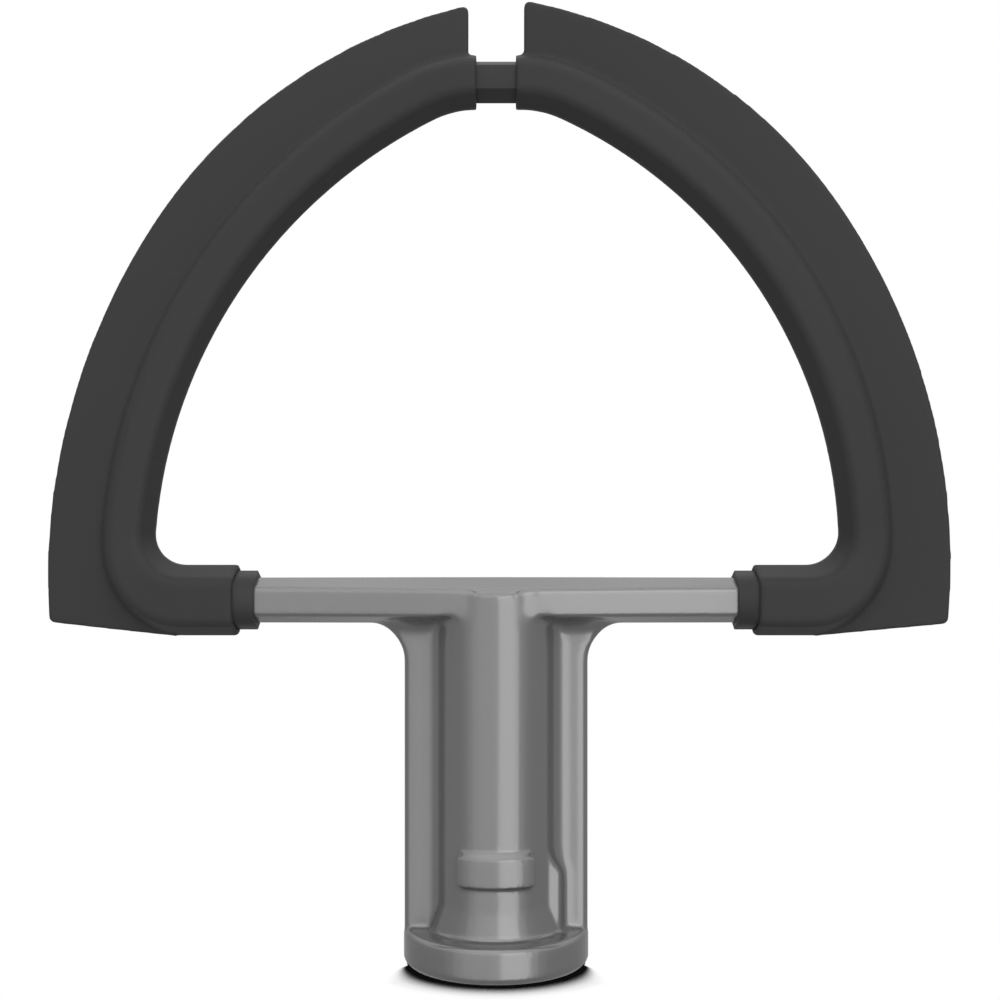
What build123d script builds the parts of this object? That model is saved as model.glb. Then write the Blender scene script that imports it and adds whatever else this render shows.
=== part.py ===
from build123d import *
import os
from math import acos, asin, atan2, cos, degrees, radians, sin, sqrt

# Flat beater for a stand mixer, standing on the mouth of its hub.
# Millimetres, +Z up, origin at the centre of the mouth. The crossbar runs along X.
# The loop is the same when it is turned half round about Z: the right arm bows
# towards -Y and the left arm towards +Y.

# Drive shaft of the mixer and its cross pin
drive_shaft_diameter = 12.7
shaft_clearance = 0.15
pin_diameter = 4.76
pin_clearance = 0.22
pin_reach = 7.25
pin_seat_height = 15.85
bore_depth = 46.0
bore_end_bevel = 0.8

# Hub
collar_radius = 14.25
collar_height = 5.5
collar_rim_bevel = 0.7
collar_foot_bevel = 0.9
flare_radius = 10.3
flare_height = 4.0
barrel_radius = 9.0
roof_step = 0.5

# Pad over the pin's seat and boss over its entry slot
pad_radius = 10.2
pad_spread = 73.0
pad_chamfer = 0.9
boss_reach = 9.8
boss_draft_width = 0.9
boss_root_half_depth = 4.7
boss_end_half_depth = 4.2
boss_slope_start = 7.6
boss_slope_height = 5.1

# Plates that stiffen the hub on both sides
plate_outside = 14.15
plate_half_depth = 1.3
plate_rim_round = 1.2
plate_root_round = 3.0
plate_foot_sink = 1.5
plate_top_round = 6.0
plate_top_sink = 0.2

# Crossbar
bar_middle = 55.83
bar_height = 7.22
bar_face = 4.1
bar_hub_half_depth = 7.8
bar_hub_half_width = 5.0
bar_hub_draft = 0.1
bar_waist_half_depth = 6.1
bar_waist = 20.0
bar_end_half_depth = 4.6
bar_end = 36.8
bar_edge_bevel = 0.4
bar_tail = 1.6

# Core of the loop, inside the arms
core_height = 4.55
core_face = 2.4
core_half_depth = 2.7
core_inset = 0.25

# Layers around the core
jacket_wall = 0.9
sleeve_wall = 1.05
jacket_collar = 3.0
jacket_bridge = 6.1
sleeve_edge_bevel = 0.7

# Course of the loop, measured on the inner ridge of the sleeve
elbow_round = 4.6
elbow_reach = 48.0
arm_centre_z = 61.6
arm_radius = 76.0
crown_round = 15.0
crown_half_width = 3.3
arm_bow = 2.55
arm_bow_middle = 34.0
arm_bow_spread = 36.0

# Wings
wing_root_thickness = 2.6
wing_edge_thickness = 1.3
wing_sheet_width = 15.0
wing_root_shift = 12.0
wing_edge_bow = 3.5
wing_end_bow = 1.9
wing_bow_spread = 39.0
wing_foot_turn = -5.72
wing_foot_width = 17.12
wing_foot_start = 47.4
wing_foot_round = 1.0
wing_side_turn = 7.0
wing_side_width = 16.9
wing_shoulder_turn = 34.93
wing_shoulder_width = 17.35
wing_shoulder_slope = 33.4
wing_tip_gap = 8.6
wing_tip_height = 148.05
wing_tip_round = 0.8

# Sizes that follow from the ones above
bore_radius = drive_shaft_diameter / 2 + shaft_clearance
slot_width = pin_diameter + 2 * pin_clearance
slot_radius = pin_reach + pin_clearance
bar_top = bar_middle + bar_height / 2
bar_bottom = bar_middle - bar_height / 2
sleeve_end = bar_end + jacket_collar
plate_foot = collar_height - plate_foot_sink
slot_top = pin_seat_height + slot_width / 2
all_walls = jacket_wall + sleeve_wall


def ridge_growth(skin, height, face, half_depth):
    """How far a ridge moves out when a wall of thickness skin is laid on the section."""
    rise = (height - face) / 2
    return skin * sqrt(half_depth**2 + rise**2) / half_depth


def hexagon(height, face, half_depth):
    """Corners of a section with a ridge on each end and a flat face on each side."""
    return [
        (-height / 2, 0),
        (-face / 2, -half_depth),
        (face / 2, -half_depth),
        (height / 2, 0),
        (face / 2, half_depth),
        (-face / 2, half_depth),
    ]


def section_plane(x, y, z, turn):
    """Plane across the loop. Its x axis points out of the loop, turn degrees above +X."""
    outward = Vector(cos(radians(turn)), 0, sin(radians(turn)))
    along = Vector(-sin(radians(turn)), 0, cos(radians(turn)))
    return Plane(origin=(x, y, z), x_dir=outward, z_dir=along)


def bow_at(turn):
    """How far the arm stands out of the middle plane at an angle about the arm's centre."""
    return max(0.0, arm_bow * (1 - ((turn - arm_bow_middle) / arm_bow_spread) ** 2))


def blend(low, high, share):
    """Smooth step from low to high."""
    step = share * share * (3 - 2 * share)
    return low + (high - low) * step


def sleeve_half_height(height, face, half_depth):
    """Half the height of the finished sleeve over a core of this section."""
    return height / 2 + ridge_growth(all_walls, height, face, half_depth)


# Arcs of the inner ridge in the middle plane, each one tangent to the next
bar_size = (bar_height, bar_face, bar_end_half_depth)
arm_size = (core_height, core_face, core_half_depth)
bar_sleeve = sleeve_half_height(*bar_size)
arm_sleeve = sleeve_half_height(*arm_size)
elbow_centre_z = bar_middle + bar_sleeve + elbow_round
arm_start = degrees(asin((elbow_centre_z - arm_centre_z) / (arm_radius - elbow_round)))
arm_centre_x = elbow_reach - (arm_radius - elbow_round) * cos(radians(arm_start))
arm_finish = degrees(acos((crown_half_width - arm_centre_x) / (arm_radius - crown_round)))
crown_centre_z = arm_centre_z + (arm_radius - crown_round) * sin(radians(arm_finish))


def arc_station(centre_x, centre_z, ridge_radius, turn, size):
    """Plane across the loop where its ridge follows an arc, with the core's section."""
    out = ridge_radius + sleeve_half_height(*size)
    x = centre_x + out * cos(radians(turn))
    z = centre_z + out * sin(radians(turn))
    bow = bow_at(degrees(atan2(z - arm_centre_z, x - arm_centre_x)))
    return (section_plane(x, -bow, z, turn), size)


def loop_stretches(start, finish):
    """Stretches of the right half, from an x on the crossbar to an x at the tip."""
    shares = (0, 0.25, 0.5, 0.75, 1)
    bar = [(section_plane(x, 0, bar_middle, -90), bar_size) for x in (start, elbow_reach)]
    elbow = []
    arm = []
    crown = []
    for share in shares:
        size = tuple(blend(low, high, share) for low, high in zip(bar_size, arm_size))
        turn = -90 + (arm_start + 90) * share
        elbow.append(arc_station(elbow_reach, elbow_centre_z, elbow_round, turn, size))
        turn = arm_start + (arm_finish - arm_start) * share
        arm.append(arc_station(arm_centre_x, arm_centre_z, arm_radius, turn, arm_size))
        turn = arm_finish + (90 - arm_finish) * share
        crown.append(
            arc_station(crown_half_width, crown_centre_z, crown_round, turn, arm_size)
        )
    tip_z = crown_centre_z + crown_round + arm_sleeve
    tip = [(section_plane(x, 0, tip_z, 90), arm_size) for x in (crown_half_width, finish)]
    return (bar, elbow, arm, crown, tip)


def loop_half(skin, start, finish, edge_bevel):
    """Right half of the loop with a wall of thickness skin laid on its core."""
    with BuildPart() as half:
        for stretch in loop_stretches(start, finish):
            for plane, size in stretch:
                with BuildSketch(plane) as section:
                    Polygon(*hexagon(*size))
                    if skin != 0:
                        offset(amount=skin, kind=Kind.INTERSECTION)
                    if edge_bevel > 0:
                        chamfer(section.vertices(), length=edge_bevel)
            loft()
    return half.part


def upright_plane(turn):
    """Plane that holds the Z axis, turned from +X by an angle about Z."""
    across = Vector(cos(radians(turn)), sin(radians(turn)), 0)
    facing = Vector(sin(radians(turn)), -cos(radians(turn)), 0)
    return Plane(origin=(0, 0, 0), x_dir=across, z_dir=facing)


# Hub, turned in one piece and roofed like the top of the crossbar
with BuildPart() as hub:
    with BuildSketch(Plane.XZ) as hub_profile:
        with BuildLine():
            Polyline(
                (0, 0),
                (collar_radius, 0),
                (collar_radius, collar_height),
                (flare_radius, collar_height),
                (barrel_radius, collar_height + flare_height),
                (barrel_radius, bar_top),
                (0, bar_top),
                close=True,
            )
        make_face()
        rim = hub_profile.vertices().group_by(Axis.X)[-1].sort_by(Axis.Y)[-1]
        chamfer(rim, length=collar_rim_bevel)
        foot = hub_profile.vertices().group_by(Axis.Y)[0].sort_by(Axis.X)[-1]
        chamfer(foot, length=collar_foot_bevel)
    revolve(axis=Axis.Z)
    roof_slope = (bar_height - bar_face) / 2 / bar_hub_half_depth
    roof_top = bar_top - roof_step
    roof_span = 2 * collar_radius
    with BuildSketch(Plane.YZ):
        with BuildLine():
            Polyline(
                (-roof_span, -roof_span),
                (roof_span, -roof_span),
                (roof_span, roof_top - roof_slope * roof_span),
                (0, roof_top),
                (-roof_span, roof_top - roof_slope * roof_span),
                close=True,
            )
        make_face()
    extrude(amount=roof_span, both=True, mode=Mode.INTERSECT)

# Barrel with a plate on each side, joined by hollow corners and rounded along the rims
plate_shelf = bar_bottom + plate_top_sink
plate_corner = plate_outside + plate_top_round
with BuildPart() as plates:
    with BuildSketch(Plane.XY.offset(plate_foot)) as plate_section:
        Circle(barrel_radius)
        Rectangle(2 * plate_corner, 2 * plate_half_depth)
        corners = plate_section.vertices().group_by(Axis.X)
        fillet(corners[1] + corners[2], radius=plate_root_round)
    extrude(amount=bar_middle - plate_foot)
    with BuildSketch(Plane.XZ):
        with BuildLine():
            for side in (-1, 1):
                rim_end = (side * plate_outside, plate_shelf - plate_top_round)
                shelf_end = (side * plate_corner, plate_shelf)
                Line((side * plate_outside, plate_foot), rim_end)
                RadiusArc(rim_end, shelf_end, side * plate_top_round)
                Line(shelf_end, (side * plate_corner, bar_middle))
            Line((-plate_outside, plate_foot), (plate_outside, plate_foot))
            Line((-plate_corner, bar_middle), (plate_corner, bar_middle))
        make_face()
    extrude(amount=collar_radius, both=True, mode=Mode.INTERSECT)
    rims = plates.edges().filter_by(Axis.Z).filter_by_position(
        Axis.Z, plate_foot, plate_shelf
    )
    top_arcs = plates.edges().filter_by(GeomType.CIRCLE).filter_by_position(
        Axis.Z, plate_shelf - plate_top_round, plate_shelf
    )
    fillet(
        rims.group_by(Axis.X)[0] + rims.group_by(Axis.X)[-1] + top_arcs,
        radius=plate_rim_round,
    )

# Right half of the crossbar, deep at the hub and slim at its end
with BuildPart() as half_bar:
    for x, half_depth in (
        (0, bar_hub_half_depth),
        (bar_hub_half_width, bar_hub_half_depth - bar_hub_draft),
        (bar_waist, bar_waist_half_depth),
        (bar_end, bar_end_half_depth),
        (bar_end + bar_tail, bar_end_half_depth),
    ):
        with BuildSketch(section_plane(x, 0, bar_middle, -90)) as bar_section:
            Polygon(*hexagon(bar_height, bar_face, half_depth))
            chamfer(bar_section.vertices(), length=bar_edge_bevel)
    loft()

# Boss beside the barrel that covers the entry slot of the pin, with a sloping top
boss_foot = boss_reach + boss_draft_width
with BuildPart() as boss:
    with BuildSketch(Plane.XY.offset(plate_foot)):
        with BuildLine():
            Polyline(
                (0, -boss_root_half_depth),
                (boss_slope_start, -boss_root_half_depth),
                (boss_reach, -boss_end_half_depth),
                (boss_foot, 0),
                (boss_reach, boss_end_half_depth),
                (boss_slope_start, boss_root_half_depth),
                (0, boss_root_half_depth),
                close=True,
            )
        make_face()
    extrude(amount=slot_top - plate_foot)
    with BuildSketch(Plane.XZ):
        with BuildLine():
            Polyline(
                (0, plate_foot),
                (boss_foot, plate_foot),
                (boss_foot, slot_top - boss_slope_height),
                (boss_slope_start, slot_top),
                (0, slot_top),
                close=True,
            )
        make_face()
    extrude(amount=boss_root_half_depth, both=True, mode=Mode.INTERSECT)

# Pad in front of the barrel that covers the seat of the pin
with BuildPart() as pad:
    with BuildSketch(upright_plane(-90 - pad_spread / 2)):
        with BuildLine():
            Polyline(
                (slot_radius, slot_top - slot_width),
                (pad_radius, slot_top - slot_width),
                (pad_radius, slot_top - pad_chamfer),
                (pad_radius - pad_chamfer, slot_top),
                (slot_radius, slot_top),
                close=True,
            )
        make_face()
    revolve(axis=Axis.Z, revolution_arc=pad_spread)

# Room for the shaft and its pin: the pin goes up the slot and turns to its seat
with BuildPart() as shaft_room:
    with BuildSketch(Plane.XY):
        Circle(bore_radius)
    extrude(amount=bore_depth)
    chamfer(shaft_room.edges().sort_by(Axis.Z)[-1], length=bore_end_bevel)
    with BuildSketch(Plane.XY):
        Circle(slot_radius)
        with Locations((slot_radius, 0)):
            Rectangle(2 * slot_radius, slot_width, mode=Mode.INTERSECT)
    extrude(amount=slot_top)
    with BuildSketch(upright_plane(-90)):
        with Locations((slot_radius / 2, pin_seat_height)):
            Rectangle(slot_radius, slot_width)
    revolve(axis=Axis.Z, revolution_arc=90)
    with BuildSketch(Plane.XY.offset(slot_top - slot_width)):
        Circle(slot_radius)
        with Locations((0, -slot_radius)):
            Rectangle(slot_width, 2 * slot_radius, mode=Mode.INTERSECT)
    extrude(amount=slot_width)

core_half = loop_half(-core_inset, bar_end + bar_tail / 2, 0, 0)

# The casting: hub, crossbar, plates, pad, boss and the core of the loop in one piece
with BuildPart() as cast_frame:
    add(hub.part)
    add(half_bar.part)
    add(half_bar.part.rotate(Axis.Z, 180))
    add(plates.part)
    add(boss.part)
    add(pad.part)
    add(core_half)
    add(core_half.rotate(Axis.Z, 180))
    add(shaft_room.part, mode=Mode.SUBTRACT)

cast_frame.part.label = "cast_frame"

# Jacket moulded round the core, open at the crossbar's ends and whole across the tip
jacket_half = loop_half(jacket_wall, bar_end, 0, 0)
with BuildPart() as loop_jacket:
    add(jacket_half)
    add(jacket_half.rotate(Axis.Z, 180))
    add(cast_frame.part, mode=Mode.SUBTRACT)

loop_jacket.part.label = "loop_jacket"


def wing_sheet():
    """Sheet that runs out from the right arm, wider than the wing on every side."""
    with BuildPart() as sheet:
        for turn in (-12, 3, 18, 33, 48, 63, 78):
            root = arm_radius + arm_sleeve
            edge = root + wing_sheet_width
            if turn < 0:
                root = root - wing_root_shift
            edge_bow = wing_edge_bow - (wing_edge_bow - wing_end_bow) * (
                (turn - arm_bow_middle) / wing_bow_spread
            ) ** 2
            with BuildSketch(section_plane(arm_centre_x, 0, arm_centre_z, turn)):
                with BuildLine():
                    Polyline(
                        (root, -bow_at(turn) - wing_root_thickness / 2),
                        (edge, -edge_bow - wing_edge_thickness / 2),
                        (edge, -edge_bow + wing_edge_thickness / 2),
                        (root, -bow_at(turn) + wing_root_thickness / 2),
                        close=True,
                    )
                make_face()
        loft()
    return sheet.part


def wing_point(turn, width):
    """Point this far outside the arm's ridge, at an angle about the arm's centre."""
    reach = arm_radius + width
    x = arm_centre_x + reach * cos(radians(turn))
    return (x, arm_centre_z + reach * sin(radians(turn)))


def wing_outline():
    """Outline of the right wing in the middle plane, closed far inside the loop."""
    with BuildSketch(Plane.XZ) as outline:
        with BuildLine():
            foot = wing_point(wing_foot_turn, wing_foot_width)
            side = wing_point(wing_side_turn, wing_side_width)
            shoulder = wing_point(wing_shoulder_turn, wing_shoulder_width)
            tip = (wing_tip_gap / 2, wing_tip_height)
            ThreePointArc(foot, side, shoulder)
            TangentArc(shoulder, tip, tangent=(shoulder_run, shoulder_rise))
            Polyline(
                tip,
                (wing_tip_gap / 2, bar_bottom),
                (wing_foot_start, sleeve_bottom),
                foot,
            )
        make_face()
        fillet(outline.vertices().sort_by_distance(tip)[0], radius=wing_tip_round)
        fillet(outline.vertices().sort_by_distance(foot)[0], radius=wing_foot_round)
    return outline.sketch


# Sleeve of the right arm with its wing, hollow where it grips the jacket
sleeve_bottom = bar_middle - bar_sleeve
shoulder_run = -sin(radians(wing_shoulder_slope))
shoulder_rise = cos(radians(wing_shoulder_slope))
with BuildPart() as right_flex_edge:
    add(wing_sheet())
    extrude(wing_outline(), amount=2 * bar_hub_half_depth, both=True, mode=Mode.INTERSECT)
    add(loop_half(all_walls, sleeve_end, jacket_bridge / 2, sleeve_edge_bevel))
    add(jacket_half, mode=Mode.SUBTRACT)

right_flex_edge.part.label = "right_flex_edge"

# The left arm is the right arm turned half round the hub
with BuildPart() as left_flex_edge:
    add(right_flex_edge.part.rotate(Axis.Z, 180))

left_flex_edge.part.label = "left_flex_edge"

os.makedirs("parts", exist_ok=True)
for piece in (cast_frame, loop_jacket, left_flex_edge, right_flex_edge):
    export_step(piece.part, "parts/" + piece.part.label + ".step")
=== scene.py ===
"""Looks of a stand mixer's flat beater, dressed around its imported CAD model."""

import logging
import math
from dataclasses import dataclass
from enum import Enum

import bmesh
import bpy
import numpy
from mathutils import Matrix, Vector

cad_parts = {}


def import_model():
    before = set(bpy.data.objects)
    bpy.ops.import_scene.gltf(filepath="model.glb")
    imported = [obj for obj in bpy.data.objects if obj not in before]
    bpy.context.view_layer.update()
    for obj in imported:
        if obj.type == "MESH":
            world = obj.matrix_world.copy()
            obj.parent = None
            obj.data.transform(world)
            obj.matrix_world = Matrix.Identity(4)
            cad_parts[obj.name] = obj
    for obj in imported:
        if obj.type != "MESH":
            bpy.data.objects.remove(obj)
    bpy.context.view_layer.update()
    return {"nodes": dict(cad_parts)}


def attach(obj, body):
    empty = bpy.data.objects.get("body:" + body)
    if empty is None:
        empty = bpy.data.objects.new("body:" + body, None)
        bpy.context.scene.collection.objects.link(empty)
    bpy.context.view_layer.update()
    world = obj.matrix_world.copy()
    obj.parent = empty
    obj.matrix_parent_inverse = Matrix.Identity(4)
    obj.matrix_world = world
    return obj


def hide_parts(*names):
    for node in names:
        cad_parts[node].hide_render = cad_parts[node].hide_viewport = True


logging.basicConfig(level=logging.INFO, format="%(message)s")
LOG = logging.getLogger("flat_beater")

MM = 0.001
BODY = "root"
# Corners of loose triangles that lie nearer than this are one point.
MERGE_DISTANCE = 0.001 * MM
# Side of the small squares of the casting's and the sleeves' new skins.
SKIN_SQUARE = 0.345 * MM


class Slot(Enum):
    """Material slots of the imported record."""

    CASTING = "coated_casting"
    JACKET = "dark_jacket"
    SILICONE = "dark_silicone"


@dataclass(frozen=True)
class Finish:
    """A painted or moulded surface with fine grain and slow changes of tone.

    Attributes:
        name: Name of the material.
        colour: Base colour, linear.
        tone_spread: Share by which the colour drifts over the surface.
        roughness: Middle of the roughness.
        roughness_spread: How far the roughness drifts either way.
        metallic: Share of the surface that is bright metal flake.
        specular: Specular level of the rest.
        grain: Size of one grain of the surface texture, in metres.
        grain_height: Height of the grain, in metres.
        ripple: Size of the slow unevenness of the skin, in metres.
        ripple_height: Height of that unevenness, in metres.
        drift: Size of the slow changes of tone, in metres.
        drift_detail: How many finer layers those changes have.
        skin_detail: How many finer layers the grain and the ripple have.
    """

    name: str
    colour: tuple[float, float, float]
    tone_spread: float
    roughness: float
    roughness_spread: float
    metallic: float
    specular: float
    grain: float
    grain_height: float
    ripple: float
    ripple_height: float
    drift: float = 12 * MM
    drift_detail: int = 3
    skin_detail: int = 2

    def material(self) -> bpy.types.Material:
        """Makes the node material.

        Returns:
            The new material.
        """
        material = bpy.data.materials.new(self.name)
        material.use_nodes = True
        nodes, links = material.node_tree.nodes, material.node_tree.links
        shader = nodes["Principled BSDF"]
        shader.inputs["Metallic"].default_value = self.metallic
        shader.inputs["Specular IOR Level"].default_value = self.specular
        place = nodes.new("ShaderNodeTexCoord").outputs["Object"]

        drift = nodes.new("ShaderNodeTexNoise")
        drift.inputs["Scale"].default_value = 1 / self.drift
        drift.inputs["Detail"].default_value = self.drift_detail
        links.new(place, drift.inputs["Vector"])

        tone = nodes.new("ShaderNodeMapRange")
        tone.inputs["To Min"].default_value = 1 - self.tone_spread
        tone.inputs["To Max"].default_value = 1 + self.tone_spread
        links.new(drift.outputs["Fac"], tone.inputs["Value"])
        tint = nodes.new("ShaderNodeVectorMath")
        tint.operation = "SCALE"
        tint.inputs[0].default_value = self.colour
        links.new(tone.outputs["Result"], tint.inputs["Scale"])
        links.new(tint.outputs["Vector"], shader.inputs["Base Color"])

        gloss = nodes.new("ShaderNodeMapRange")
        gloss.inputs["To Min"].default_value = self.roughness - self.roughness_spread
        gloss.inputs["To Max"].default_value = self.roughness + self.roughness_spread
        links.new(drift.outputs["Fac"], gloss.inputs["Value"])
        links.new(gloss.outputs["Result"], shader.inputs["Roughness"])

        normal = None
        for size, height in ((self.ripple, self.ripple_height), (self.grain, self.grain_height)):
            noise = nodes.new("ShaderNodeTexNoise")
            noise.inputs["Scale"].default_value = 1 / size
            noise.inputs["Detail"].default_value = self.skin_detail
            links.new(place, noise.inputs["Vector"])
            bump = nodes.new("ShaderNodeBump")
            bump.inputs["Distance"].default_value = height
            links.new(noise.outputs["Fac"], bump.inputs["Height"])
            if normal is not None:
                links.new(normal, bump.inputs["Normal"])
            normal = bump.outputs["Normal"]
        links.new(normal, shader.inputs["Normal"])
        return material


COATED_CASTING = Finish(
    name="grey_coat_on_casting",
    colour=(0.235, 0.235, 0.235),
    tone_spread=0.02,
    roughness=0.2,
    roughness_spread=0.02,
    metallic=0.5,
    specular=0.5,
    grain=0.25 * MM,
    grain_height=0.002 * MM,
    ripple=1.6 * MM,
    ripple_height=0.006 * MM,
)
JACKET_PLASTIC = Finish(
    name="charcoal_jacket",
    colour=(0.045, 0.045, 0.046),
    tone_spread=0.04,
    roughness=0.5,
    roughness_spread=0.04,
    metallic=0.0,
    specular=0.18,
    grain=0.2 * MM,
    grain_height=0.004 * MM,
    ripple=1.5 * MM,
    ripple_height=0.004 * MM,
)
EDGE_SILICONE = Finish(
    name="charcoal_silicone",
    colour=(0.048, 0.048, 0.049),
    tone_spread=0.05,
    roughness=0.6,
    roughness_spread=0.04,
    metallic=0.0,
    specular=0.16,
    grain=0.18 * MM,
    grain_height=0.006 * MM,
    ripple=2.5 * MM,
    ripple_height=0.008 * MM,
)


def applied(piece: bpy.types.Object) -> None:
    """Turns what a piece's modifiers make into its mesh.

    Args:
        piece: The mesh object, whose modifiers go.
    """
    graph = bpy.context.evaluated_depsgraph_get()
    mesh = bpy.data.meshes.new_from_object(piece.evaluated_get(graph))
    plain = piece.data
    piece.modifiers.clear()
    piece.vertex_groups.clear()
    piece.data = mesh
    bpy.data.meshes.remove(plain)


@dataclass(frozen=True)
class SoftCorner:
    """A hollow corner that is rounded more than the edges are.

    Attributes:
        name: Name of its vertex group.
        course: Points along the corner, in millimetres.
        reach: How far the round spreads from the corner, in millimetres.
        passes: Number of smoothing passes.
        quarters: Whether the corner is the same in all four quarters about Z.
    """

    name: str
    course: tuple[tuple[float, float, float], ...]
    reach: float
    passes: int
    quarters: bool = True

    def weights(self, places: numpy.ndarray) -> numpy.ndarray:
        """Works out how strongly each point is smoothed.

        Args:
            places: Points of the mesh, in metres, one a row.

        Returns:
            Weights from 0 to 1, which are full within half the reach.
        """
        points = places / MM
        if self.quarters:
            points = numpy.column_stack((numpy.abs(points[:, :2]), points[:, 2]))
        nearest = numpy.full(len(points), numpy.inf)
        for start, end in zip(self.course[:-1], self.course[1:]):
            start, run = numpy.array(start), numpy.subtract(end, start)
            share = numpy.clip((points - start) @ run / (run @ run), 0, 1)
            foot = start + share[:, None] * run
            nearest = numpy.minimum(nearest, numpy.linalg.norm(points - foot, axis=1))
        return numpy.clip(2 * (1 - nearest / self.reach), 0, 1)


CASTING_CORNERS = (
    SoftCorner(
        name="under_crossbar",
        course=((4.4, 7.8, 53.8), (7.4, 5.2, 53.3), (9.2, 2.2, 52.8), (11.5, 1.4, 52.5), (17.0, 1.4, 52.5)),
        reach=2.6,
        passes=30,
    ),
    SoftCorner(
        name="crossbar_on_barrel",
        course=((4.5, 7.8, 54.0), (4.5, 7.8, 58.0)),
        reach=2.2,
        passes=20,
    ),
    SoftCorner(
        name="boss_foot",
        course=((10.5, -1.4, 4.5), (10.5, -1.4, 13.6), (8.9, -2.6, 16.5)),
        reach=2.0,
        passes=40,
        quarters=False,
    ),
)


@dataclass
class Piece:
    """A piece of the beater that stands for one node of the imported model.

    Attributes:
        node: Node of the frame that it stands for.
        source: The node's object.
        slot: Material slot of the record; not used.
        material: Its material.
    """

    node: str
    source: bpy.types.Object
    slot: Slot
    material: bpy.types.Material

    def merged_copy(self) -> bmesh.types.BMesh:
        """Copies the solid and joins its loose triangles.

        Returns:
            The copy as a closed mesh.
        """
        shape = bmesh.new()
        shape.from_mesh(self.source.data)
        bmesh.ops.remove_doubles(shape, verts=shape.verts, dist=MERGE_DISTANCE)
        return shape

    def placed(self, shape: bmesh.types.BMesh) -> bpy.types.Object:
        """Puts a closed mesh into the scene.

        Args:
            shape: The closed mesh, which is freed.

        Returns:
            The piece's object.
        """
        mesh = bpy.data.meshes.new(self.node + "_skin")
        shape.to_mesh(mesh)
        shape.free()
        piece = bpy.data.objects.new(self.node + "_skin", mesh)
        bpy.context.scene.collection.objects.link(piece)
        return piece

    def settle(self, piece: bpy.types.Object) -> None:
        """Dresses the piece and hangs it on the body.

        Args:
            piece: The finished piece.
        """
        piece.data.materials.append(self.material)
        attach(piece, BODY)
        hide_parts(self.node)
        LOG.info("%s: %d faces", self.node, len(piece.data.polygons))


@dataclass
class RoundedPiece(Piece):
    """A cast or moulded piece that follows its solid, with all its edges rounded.

    Attributes:
        edge_passes: Smoothing passes that round every edge.
        tube_passes: More such passes for what stands further from the middle plane than a wing.
        tube_depth: How far that is, in metres.
        corners: Hollow corners that are rounded more.
    """

    edge_passes: int
    tube_passes: int = 0
    tube_depth: float = 2 * MM
    corners: tuple[SoftCorner, ...] = ()

    def skinned(self, shape: bmesh.types.BMesh) -> bpy.types.Object:
        """Lays an even skin of small squares over a closed mesh.

        Args:
            shape: The closed mesh, which is freed.

        Returns:
            The piece, not rounded yet.
        """
        piece = self.placed(shape)
        skin = piece.modifiers.new("skin", "REMESH")
        skin.mode = "VOXEL"
        skin.voxel_size = SKIN_SQUARE
        skin.use_smooth_shade = True
        applied(piece)
        return piece

    def soften(self, piece: bpy.types.Object) -> None:
        """Rounds the hollow corners, and then every edge.

        Args:
            piece: The skinned piece.
        """
        places = numpy.empty(3 * len(piece.data.vertices))
        piece.data.vertices.foreach_get("co", places)
        places = places.reshape(-1, 3)
        for corner in self.corners:
            group = piece.vertex_groups.new(name=corner.name)
            weights = corner.weights(places)
            for index in numpy.flatnonzero(weights):
                group.add([int(index)], float(weights[index]), "REPLACE")
            smoothing = piece.modifiers.new(corner.name, "SMOOTH")
            smoothing.vertex_group = corner.name
            smoothing.iterations = corner.passes
        if self.tube_passes:
            tube = piece.vertex_groups.new(name="tube")
            outside = numpy.flatnonzero(numpy.abs(places[:, 1]) > self.tube_depth)
            tube.add(outside.tolist(), 1.0, "REPLACE")
            smoothing = piece.modifiers.new("tube", "SMOOTH")
            smoothing.vertex_group = tube.name
            smoothing.iterations = self.tube_passes
        smoothing = piece.modifiers.new("edges", "SMOOTH")
        smoothing.iterations = self.edge_passes
        applied(piece)

    def build(self) -> bpy.types.Object:
        """Makes the piece and puts it in its node's place.

        Returns:
            The finished piece.
        """
        piece = self.skinned(self.merged_copy())
        self.soften(piece)
        self.settle(piece)
        return piece


@dataclass
class Jacket(Piece):
    """The rigid jacket round the core, with the edges of its collars and bridge rounded.

    Attributes:
        flat: Largest turn between facets that are joined into one face first, in degrees.
        sharp: Smallest turn of an edge that is rounded, in degrees.
        round_width: How far the round reaches from the edge, in metres.
        round_segments: Number of its facets.
        least_edge: Length of the shortest edge that is rounded, in metres.
        collar_reach: How far from the middle the collars reach, in metres.
    """

    flat: float = 1.0
    sharp: float = 30.0
    round_width: float = 0.4 * MM
    round_segments: int = 3
    least_edge: float = 0.2 * MM
    collar_reach: float = 40 * MM

    def build(self) -> bpy.types.Object:
        """Makes the jacket.

        Returns:
            The finished piece.
        """
        shape = self.merged_copy()
        bmesh.ops.dissolve_limit(
            shape, angle_limit=math.radians(self.flat), verts=shape.verts, edges=shape.edges
        )
        edges = []
        for edge in shape.edges:
            sharp = edge.calc_face_angle_signed(0) > math.radians(self.sharp)
            shown = max(abs(vert.co.x) for vert in edge.verts) < self.collar_reach
            if sharp and shown and edge.calc_length() > self.least_edge:
                edges.append(edge)
        bmesh.ops.bevel(
            shape, geom=edges, offset=self.round_width, offset_type="OFFSET", affect="EDGES",
            segments=self.round_segments, profile=0.5, material=-1, clamp_overlap=True,
        )
        piece = self.placed(shape)
        piece.data.shade_smooth()
        self.settle(piece)
        return piece


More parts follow.
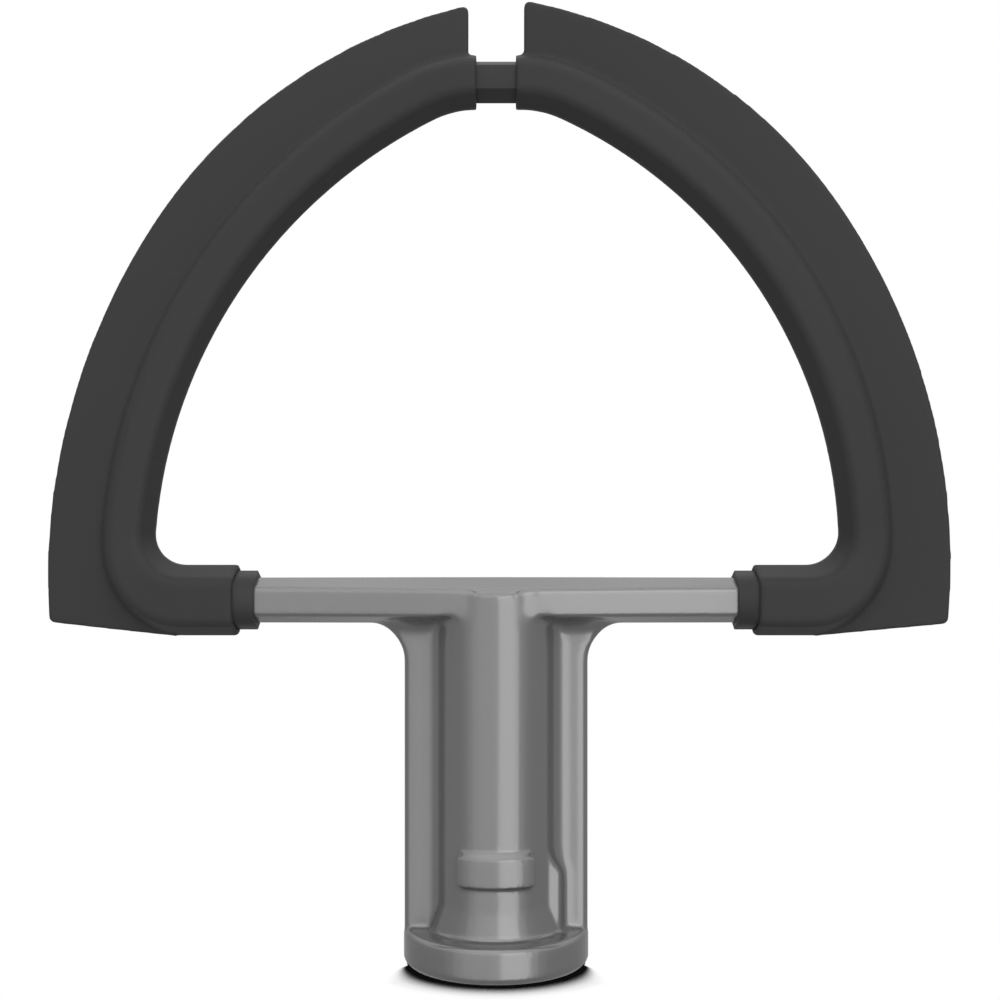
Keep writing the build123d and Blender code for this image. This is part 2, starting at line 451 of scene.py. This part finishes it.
@dataclass(frozen=True)
class BarFillet:
    """The hollow round between the crossbar's underside and a plate's face.

    Attributes:
        radius: Its radius, in millimetres.
        corner: Distance of the sharp corner from the middle plane, and its height, in millimetres.
        slope: Angle of the underside to the horizontal, in degrees.
        start: Distance from the axis where it starts, inside the barrel, in millimetres.
        finish: Distance from the axis where it has run out, in millimetres.
        stations: Number of its sections.
        facets: Number of facets along its arc.
        rim_corner: X and height of the centre of the plate's top arc, in millimetres.
        rim_radius: Radius of that arc, in millimetres.
        rim_edge: Width of the plate's rounded rim, in millimetres.
        depth: How far it reaches into the casting, in millimetres.
        least_share: Share of the full section that it has at its far end.
    """

    radius: float = 3.7
    corner: tuple[float, float] = (1.3, 52.45)
    slope: float = 11.3
    start: float = 5.0
    finish: float = 18.5
    stations: int = 28
    facets: int = 10
    rim_corner: tuple[float, float] = (20.15, 46.4)
    rim_radius: float = 6.0
    rim_edge: float = 0.6
    depth: float = 0.6
    least_share: float = 0.02

    def turn(self) -> float:
        """Works out the angle that the round turns through, in radians."""
        return math.radians(90 - self.slope)

    def tangent(self) -> float:
        """Works out how far the round reaches from the sharp corner, in millimetres."""
        return self.radius * math.tan(self.turn() / 2)

    def share(self, x: float) -> float:
        """Works out how large the section is.

        Args:
            x: Distance from the axis, in millimetres.

        Returns:
            Its size as a share of the full one, which shrinks over the plate's top arc.
        """
        across, centre = self.rim_corner[0] - x, self.rim_corner[1]
        if across >= self.rim_radius:
            return 1.0
        rim = centre + math.sqrt(self.rim_radius**2 - across**2) + self.rim_edge
        return min(1.0, max(self.least_share, (self.corner[1] - rim) / self.tangent()))

    def section(self, strip: bmesh.types.BMesh) -> bmesh.types.BMFace:
        """Draws the section where the fillet starts.

        Args:
            strip: The empty mesh that gets it.

        Returns:
            The section.
        """
        side, height = self.corner
        tangent = self.tangent()
        for step in range(self.facets + 1):
            angle = self.turn() * step / self.facets
            out = self.radius * (1 - math.cos(angle))
            strip.verts.new((self.start, -side - out, height - tangent + self.radius * math.sin(angle)))
        reach = tangent * math.cos(math.radians(self.slope))
        rise = tangent * math.sin(math.radians(self.slope))
        strip.verts.new((self.start, -side - reach, height + rise + self.depth))
        strip.verts.new((self.start, -side + self.depth, height + self.depth))
        strip.verts.new((self.start, -side + self.depth, height - tangent))
        return strip.faces.new(strip.verts)

    def add_to(self, shape: bmesh.types.BMesh) -> None:
        """Adds the four fillets, one in each quarter.

        Args:
            shape: The casting.
        """
        strip = bmesh.new()
        section = self.section(strip)
        pivot = Vector((0, -self.corner[0], self.corner[1]))
        run = (self.finish - self.start) / self.stations
        for station in range(self.stations):
            x = self.start + run * (station + 1)
            scale = self.share(x) / self.share(x - run)
            made = bmesh.ops.extrude_face_region(strip, geom=[section], use_keep_orig=station == 0)
            section = next(item for item in made["geom"] if isinstance(item, bmesh.types.BMFace))
            bmesh.ops.translate(strip, verts=section.verts, vec=(run, 0, 0))
            bmesh.ops.scale(
                strip, verts=section.verts, vec=(1, scale, scale),
                space=Matrix.Translation(-pivot),
            )
        bmesh.ops.scale(strip, verts=strip.verts, vec=(MM, MM, MM))
        for axis in ("X", "Y"):
            whole = strip.faces[:] + strip.edges[:] + strip.verts[:]
            bmesh.ops.mirror(strip, geom=whole, axis=axis, merge_dist=-1)
        bmesh.ops.recalc_face_normals(strip, faces=strip.faces)
        mesh = bpy.data.meshes.new("bar_fillets")
        strip.to_mesh(mesh)
        strip.free()
        shape.from_mesh(mesh)
        bpy.data.meshes.remove(mesh)


@dataclass
class Casting(RoundedPiece):
    """The casting: its hub and crossbar get the new skin, and its hidden core stays.

    Attributes:
        core_start: How far from the middle the core begins, in metres.
        core_floor: Height above which there is nothing but core, in metres.
        overlap: How far the hub's part reaches into the core's, in metres.
        cut_slack: How near to a cut a point counts as lying on it, in metres.
    """

    core_start: float = 38 * MM
    core_floor: float = 75 * MM
    overlap: float = 0.3 * MM
    cut_slack: float = 1e-8

    def part_of(self, keep_hub: bool) -> bmesh.types.BMesh:
        """Cuts the solid where the core begins.

        Args:
            keep_hub: Whether the hub and crossbar stay, and not the core.

        Returns:
            The part that stays, closed again.
        """
        shape = self.merged_copy()
        reach = self.core_start + (self.overlap if keep_hub else 0)
        for side in (-1, 1):
            low = [face for face in shape.faces if face.calc_center_median().z < self.core_floor]
            geometry = list({item for face in low for item in (*face.verts, *face.edges, face)})
            bmesh.ops.bisect_plane(
                shape, geom=geometry, dist=self.cut_slack,
                plane_co=(side * reach, 0, 0), plane_no=(side, 0, 0),
            )
        away = []
        for face in shape.faces:
            centre = face.calc_center_median()
            in_hub = centre.z < self.core_floor and abs(centre.x) < reach
            if in_hub != keep_hub:
                away.append(face)
        bmesh.ops.delete(shape, geom=away, context="FACES")
        open_edges = [edge for edge in shape.edges if edge.is_boundary]
        bmesh.ops.holes_fill(shape, edges=open_edges)
        return shape

    def build(self) -> bpy.types.Object:
        """Makes the casting.

        Returns:
            The finished piece.
        """
        shape = self.part_of(keep_hub=True)
        BarFillet().add_to(shape)
        piece = self.skinned(shape)
        self.soften(piece)
        whole = self.part_of(keep_hub=False)
        whole.from_mesh(piece.data)
        whole.to_mesh(piece.data)
        whole.free()
        piece.data.shade_smooth()
        self.settle(piece)
        return piece


@dataclass(frozen=True)
class SoftLight:
    """A rectangular lamp that faces the object.

    Attributes:
        name: Name of the lamp.
        azimuth: Angle from the camera's side, in degrees, positive to the camera's right.
        elevation: Angle above the horizon, in degrees.
        reach: Distance from the target, in metres.
        width: Width, in metres.
        height: Height, in metres.
        radiance: Brightness of the lit face, in watts per square metre and steradian.
    """

    name: str
    azimuth: float
    elevation: float
    reach: float
    width: float
    height: float
    radiance: float

    def build(self, target: Vector) -> bpy.types.Object:
        """Makes the lamp.

        Args:
            target: The point that it faces.

        Returns:
            The lamp's object.
        """
        lamp = bpy.data.lights.new(self.name, "AREA")
        lamp.shape = "RECTANGLE"
        lamp.size, lamp.size_y = self.width, self.height
        lamp.energy = self.radiance * math.pi * self.width * self.height
        turn, rise = math.radians(self.azimuth), math.radians(self.elevation)
        away = Vector((math.sin(turn) * math.cos(rise), -math.cos(turn) * math.cos(rise), math.sin(rise)))
        body = bpy.data.objects.new(self.name, lamp)
        body.location = target + away * self.reach
        body.rotation_mode = "QUATERNION"
        body.rotation_quaternion = (-away).to_track_quat("-Z", "Y")
        body.visible_glossy = False
        bpy.context.scene.collection.objects.link(body)
        return body


STUDIO_LAMPS = (
    SoftLight(name="front_lamp", azimuth=5, elevation=25, reach=1.2, width=1.1, height=0.9, radiance=2.2),
    SoftLight(name="top_lamp", azimuth=0, elevation=80, reach=1.2, width=1.0, height=0.9, radiance=0.55),
    SoftLight(name="back_lamp", azimuth=180, elevation=20, reach=1.2, width=0.8, height=0.9, radiance=1.9),
)


@dataclass(frozen=True)
class Panel:
    """A bright panel of the studio, as smooth surfaces mirror it.

    Attributes:
        gain: How much brighter than the studio's walls it is.
        sides: Azimuths of its left and right edges from the camera's side, in degrees.
        heights: Elevations of its lower and upper edges, in degrees.
        blur: Width of its soft edges, in degrees.
    """

    gain: float
    sides: tuple[float, float]
    heights: tuple[float, float]
    blur: float


STUDIO_PANELS = (
    Panel(gain=0.68, sides=(-51, 51), heights=(-50, 50), blur=42),
    Panel(gain=1.0, sides=(5, 44), heights=(-45, 50), blur=4),
    Panel(gain=0.55, sides=(-220, 220), heights=(27, 120), blur=24),
    Panel(gain=0.7, sides=(-220, 220), heights=(60, 120), blur=24),
)


@dataclass
class Sky:
    """The studio around the object: white where it is seen, with panels where it is mirrored.

    Attributes:
        fill: Brightness on matt surfaces.
        walls: Brightness that smooth surfaces mirror away from the panels.
        ground: Brightness that they mirror from below the horizon.
        panels: The bright panels.
        footing: Elevations between which the ground passes into the walls, in degrees.
        tree: Node tree of the world, once it is built.
    """

    fill: float
    walls: float
    ground: float
    panels: tuple[Panel, ...]
    footing: tuple[float, float] = (-26.0, -10.0)
    tree: bpy.types.NodeTree | None = None

    def build(self) -> None:
        """Makes the world."""
        world = bpy.data.worlds.new("studio")
        world.use_nodes = True
        world.cycles.sampling_method = "NONE"
        bpy.context.scene.world = world
        self.tree = world.node_tree
        place = self.tree.nodes.new("ShaderNodeTexCoord").outputs["Generated"]
        split = self.tree.nodes.new("ShaderNodeSeparateXYZ")
        self.tree.links.new(place, split.inputs["Vector"])
        toward = self._math("MULTIPLY", split.outputs["Y"], -1.0)
        azimuth = self._degrees(self._math("ARCTAN2", split.outputs["X"], toward))
        elevation = self._degrees(self._math("ARCSINE", split.outputs["Z"], 0.0))

        mirrored = self._ramp(elevation, *self.footing, self.ground, self.walls)
        for panel in self.panels:
            inside = self._band(azimuth, panel.sides, panel.blur)
            inside = self._math("MULTIPLY", inside, self._band(elevation, panel.heights, panel.blur))
            mirrored = self._math("ADD", mirrored, self._math("MULTIPLY", inside, panel.gain))

        path = self.tree.nodes.new("ShaderNodeLightPath")
        white = self._math("MAXIMUM", path.outputs["Is Camera Ray"], path.outputs["Is Transmission Ray"])
        strength = self._mix(path.outputs["Is Glossy Ray"], self.fill, mirrored)
        strength = self._mix(white, strength, 1.0)
        self.tree.links.new(strength, self.tree.nodes["Background"].inputs["Strength"])
        self.tree.nodes["Background"].inputs["Color"].default_value = (1, 1, 1, 1)

    def _put(self, value: float | bpy.types.NodeSocket, socket: bpy.types.NodeSocket) -> None:
        """Links a socket or sets a number.

        Args:
            value: The source socket, or the number.
            socket: The input that gets it.
        """
        if isinstance(value, bpy.types.NodeSocket):
            self.tree.links.new(value, socket)
        else:
            socket.default_value = value

    def _math(
        self, operation: str, first: float | bpy.types.NodeSocket, second: float | bpy.types.NodeSocket
    ) -> bpy.types.NodeSocket:
        """Adds a Math node.

        Args:
            operation: Its operation.
            first: Its first value.
            second: Its second value.

        Returns:
            Its output.
        """
        node = self.tree.nodes.new("ShaderNodeMath")
        node.operation = operation
        self._put(first, node.inputs[0])
        self._put(second, node.inputs[1])
        return node.outputs["Value"]

    def _degrees(self, angle: bpy.types.NodeSocket) -> bpy.types.NodeSocket:
        """Turns radians into degrees."""
        return self._math("MULTIPLY", angle, math.degrees(1.0))

    def _ramp(
        self, value: bpy.types.NodeSocket, low: float, high: float, start: float, end: float
    ) -> bpy.types.NodeSocket:
        """Adds a soft step between two values.

        Args:
            value: What the step is taken over.
            low: Where the step begins.
            high: Where it ends.
            start: The value before it.
            end: The value after it.

        Returns:
            The stepped value.
        """
        node = self.tree.nodes.new("ShaderNodeMapRange")
        node.interpolation_type = "SMOOTHSTEP"
        self._put(value, node.inputs["Value"])
        node.inputs["From Min"].default_value = low
        node.inputs["From Max"].default_value = high
        node.inputs["To Min"].default_value = start
        node.inputs["To Max"].default_value = end
        return node.outputs["Result"]

    def _band(
        self, value: bpy.types.NodeSocket, edges: tuple[float, float], blur: float
    ) -> bpy.types.NodeSocket:
        """Adds a band that is 1 between two edges and 0 outside them.

        Args:
            value: What the band lies along.
            edges: Its edges.
            blur: Width of each soft edge.

        Returns:
            The band.
        """
        rise = self._ramp(value, edges[0] - blur / 2, edges[0] + blur / 2, 0.0, 1.0)
        fall = self._ramp(value, edges[1] - blur / 2, edges[1] + blur / 2, 1.0, 0.0)
        return self._math("MULTIPLY", rise, fall)

    def _mix(
        self, share: bpy.types.NodeSocket, first: float | bpy.types.NodeSocket,
        second: float | bpy.types.NodeSocket,
    ) -> bpy.types.NodeSocket:
        """Adds a blend of two values.

        Args:
            share: How much of the second value it takes.
            first: The first value.
            second: The second value.

        Returns:
            The blend.
        """
        node = self.tree.nodes.new("ShaderNodeMix")
        self._put(share, node.inputs["Factor"])
        self._put(first, node.inputs["A"])
        self._put(second, node.inputs["B"])
        return node.outputs["Result"]


STUDIO_SKY = Sky(fill=0.4, walls=0.47, ground=0.4, panels=STUDIO_PANELS)


@dataclass
class Studio:
    """Floor, sky, lamps and camera.

    Attributes:
        sky: The studio around the object.
        lamps: The lamps.
        camera_side: Camera's X, in metres.
        camera_height: Camera's Z, in metres.
        camera_reach: Camera's distance from the object's middle plane, in metres.
        lens: Focal length on the sensor, in millimetres.
        sensor: Width of the sensor, in millimetres.
        clip: Nearest and furthest distance that the camera sees, in metres.
        floor_half: Half the side of the floor, in metres.
        floor_tone: Colour of the floor where it lights the object.
        shadow_sides: Y in front of which the contact shadow grows, and Y where it is full, in metres.
        shadow_reach: How far it spreads behind and in front of them, in metres.
        shadow_samples: Number of rays that look for the object above the floor.
        shadow_steps: Shares of open sky at which the floor is darkest and at which it is white.
        shadow_tone: Brightness of the floor where it is darkest.
    """

    sky: Sky
    lamps: tuple[SoftLight, ...]
    camera_side: float = 0.6 * MM
    camera_height: float = 71.3 * MM
    camera_reach: float = 260 * MM
    lens: float = 60.5
    sensor: float = 36.0
    clip: tuple[float, float] = (0.01, 20.0)
    floor_half: float = 3.0
    floor_tone: float = 0.5
    shadow_sides: tuple[float, float] = (-2.5 * MM, -12 * MM)
    shadow_reach: tuple[float, float] = (0.4 * MM, 7 * MM)
    shadow_samples: int = 16
    shadow_steps: tuple[float, float] = (0.62, 0.97)
    shadow_tone: float = 0.004

    def build(self) -> None:
        """Makes all of it."""
        self._camera()
        self._floor()
        self.sky.build()
        target = Vector((0, 0, self.camera_height))
        for lamp in self.lamps:
            lamp.build(target)

    def _camera(self) -> None:
        """Places the camera level with the middle of the loop, square to the crossbar."""
        camera = bpy.data.cameras.new("camera")
        camera.lens, camera.sensor_width = self.lens, self.sensor
        camera.clip_start, camera.clip_end = self.clip
        body = bpy.data.objects.new("camera", camera)
        body.location = (self.camera_side, -self.camera_reach, self.camera_height)
        body.rotation_euler = (math.radians(90), 0, 0)
        bpy.context.scene.collection.objects.link(body)
        bpy.context.scene.camera = body

    def _floor(self) -> None:
        """Lays the floor under the object."""
        bpy.ops.mesh.primitive_plane_add(size=2 * self.floor_half)
        floor = bpy.context.active_object
        floor.name = "floor"
        floor.data.materials.append(self._floor_material())

    def _contact_shadow(self, tree: bpy.types.NodeTree) -> bpy.types.NodeSocket:
        """Adds the dark line on the floor where the object stands on it.

        Args:
            tree: Node tree of the floor's material.

        Returns:
            The floor's colour as the camera sees it.
        """
        nodes, links = tree.nodes, tree.links
        near = nodes.new("ShaderNodeAmbientOcclusion")
        near.samples = self.shadow_samples
        place = nodes.new("ShaderNodeSeparateXYZ")
        links.new(nodes.new("ShaderNodeTexCoord").outputs["Object"], place.inputs["Vector"])
        reach = nodes.new("ShaderNodeMapRange")
        reach.inputs["From Min"].default_value, reach.inputs["From Max"].default_value = self.shadow_sides
        reach.inputs["To Min"].default_value, reach.inputs["To Max"].default_value = self.shadow_reach
        links.new(place.outputs["Y"], reach.inputs["Value"])
        links.new(reach.outputs["Result"], near.inputs["Distance"])
        ramp = nodes.new("ShaderNodeValToRGB")
        ramp.color_ramp.interpolation = "EASE"
        for stop, position, tone in zip(
            ramp.color_ramp.elements, self.shadow_steps, (self.shadow_tone, 1.0), strict=True
        ):
            stop.position = position
            stop.color = (tone, tone, tone, 1)
        links.new(near.outputs["AO"], ramp.inputs["Fac"])
        return ramp.outputs["Color"]

    def _floor_material(self) -> bpy.types.Material:
        """Makes a floor that is white where it is seen, matt to the lamps and clear to mirrors.

        Returns:
            The material.
        """
        material = bpy.data.materials.new("white_floor")
        material.use_nodes = True
        nodes, links = material.node_tree.nodes, material.node_tree.links
        matt = nodes["Principled BSDF"]
        matt.inputs["Base Color"].default_value = (self.floor_tone, self.floor_tone, self.floor_tone, 1)
        matt.inputs["Roughness"].default_value = 1
        matt.inputs["Specular IOR Level"].default_value = 0
        seen = nodes.new("ShaderNodeEmission")
        links.new(self._contact_shadow(material.node_tree), seen.inputs["Color"])
        clear = nodes.new("ShaderNodeBsdfTransparent")
        path = nodes.new("ShaderNodeLightPath")
        mirrored = nodes.new("ShaderNodeMixShader")
        links.new(path.outputs["Is Glossy Ray"], mirrored.inputs["Fac"])
        links.new(matt.outputs["BSDF"], mirrored.inputs[1])
        links.new(clear.outputs["BSDF"], mirrored.inputs[2])
        shown = nodes.new("ShaderNodeMixShader")
        white = nodes.new("ShaderNodeMath")
        white.operation = "MAXIMUM"
        links.new(path.outputs["Is Camera Ray"], white.inputs[0])
        links.new(path.outputs["Is Transmission Ray"], white.inputs[1])
        links.new(white.outputs["Value"], shown.inputs["Fac"])
        links.new(mirrored.outputs["Shader"], shown.inputs[1])
        links.new(seen.outputs["Emission"], shown.inputs[2])
        links.new(shown.outputs["Shader"], nodes["Material Output"].inputs["Surface"])
        return material


def main() -> None:
    """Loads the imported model, dresses it and sets the studio."""
    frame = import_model()
    scene = bpy.context.scene
    scene.view_settings.view_transform = "Standard"
    finishes = {
        Slot.CASTING: COATED_CASTING.material(),
        Slot.JACKET: JACKET_PLASTIC.material(),
        Slot.SILICONE: EDGE_SILICONE.material(),
    }
    nodes = frame["nodes"]
    Casting(
        node="cast_frame",
        source=nodes["cast_frame"],
        slot=Slot.CASTING,
        material=finishes[Slot.CASTING],
        edge_passes=5,
        corners=CASTING_CORNERS,
    ).build()
    for name in ("left_flex_edge", "right_flex_edge"):
        RoundedPiece(
            node=name,
            source=nodes[name],
            slot=Slot.SILICONE,
            material=finishes[Slot.SILICONE],
            edge_passes=2,
            tube_passes=6,
        ).build()
    Jacket(
        node="loop_jacket",
        source=nodes["loop_jacket"],
        slot=Slot.JACKET,
        material=finishes[Slot.JACKET],
    ).build()
    Studio(sky=STUDIO_SKY, lamps=STUDIO_LAMPS).build()
    LOG.info("studio set")


if __name__ == "__main__":
    main()
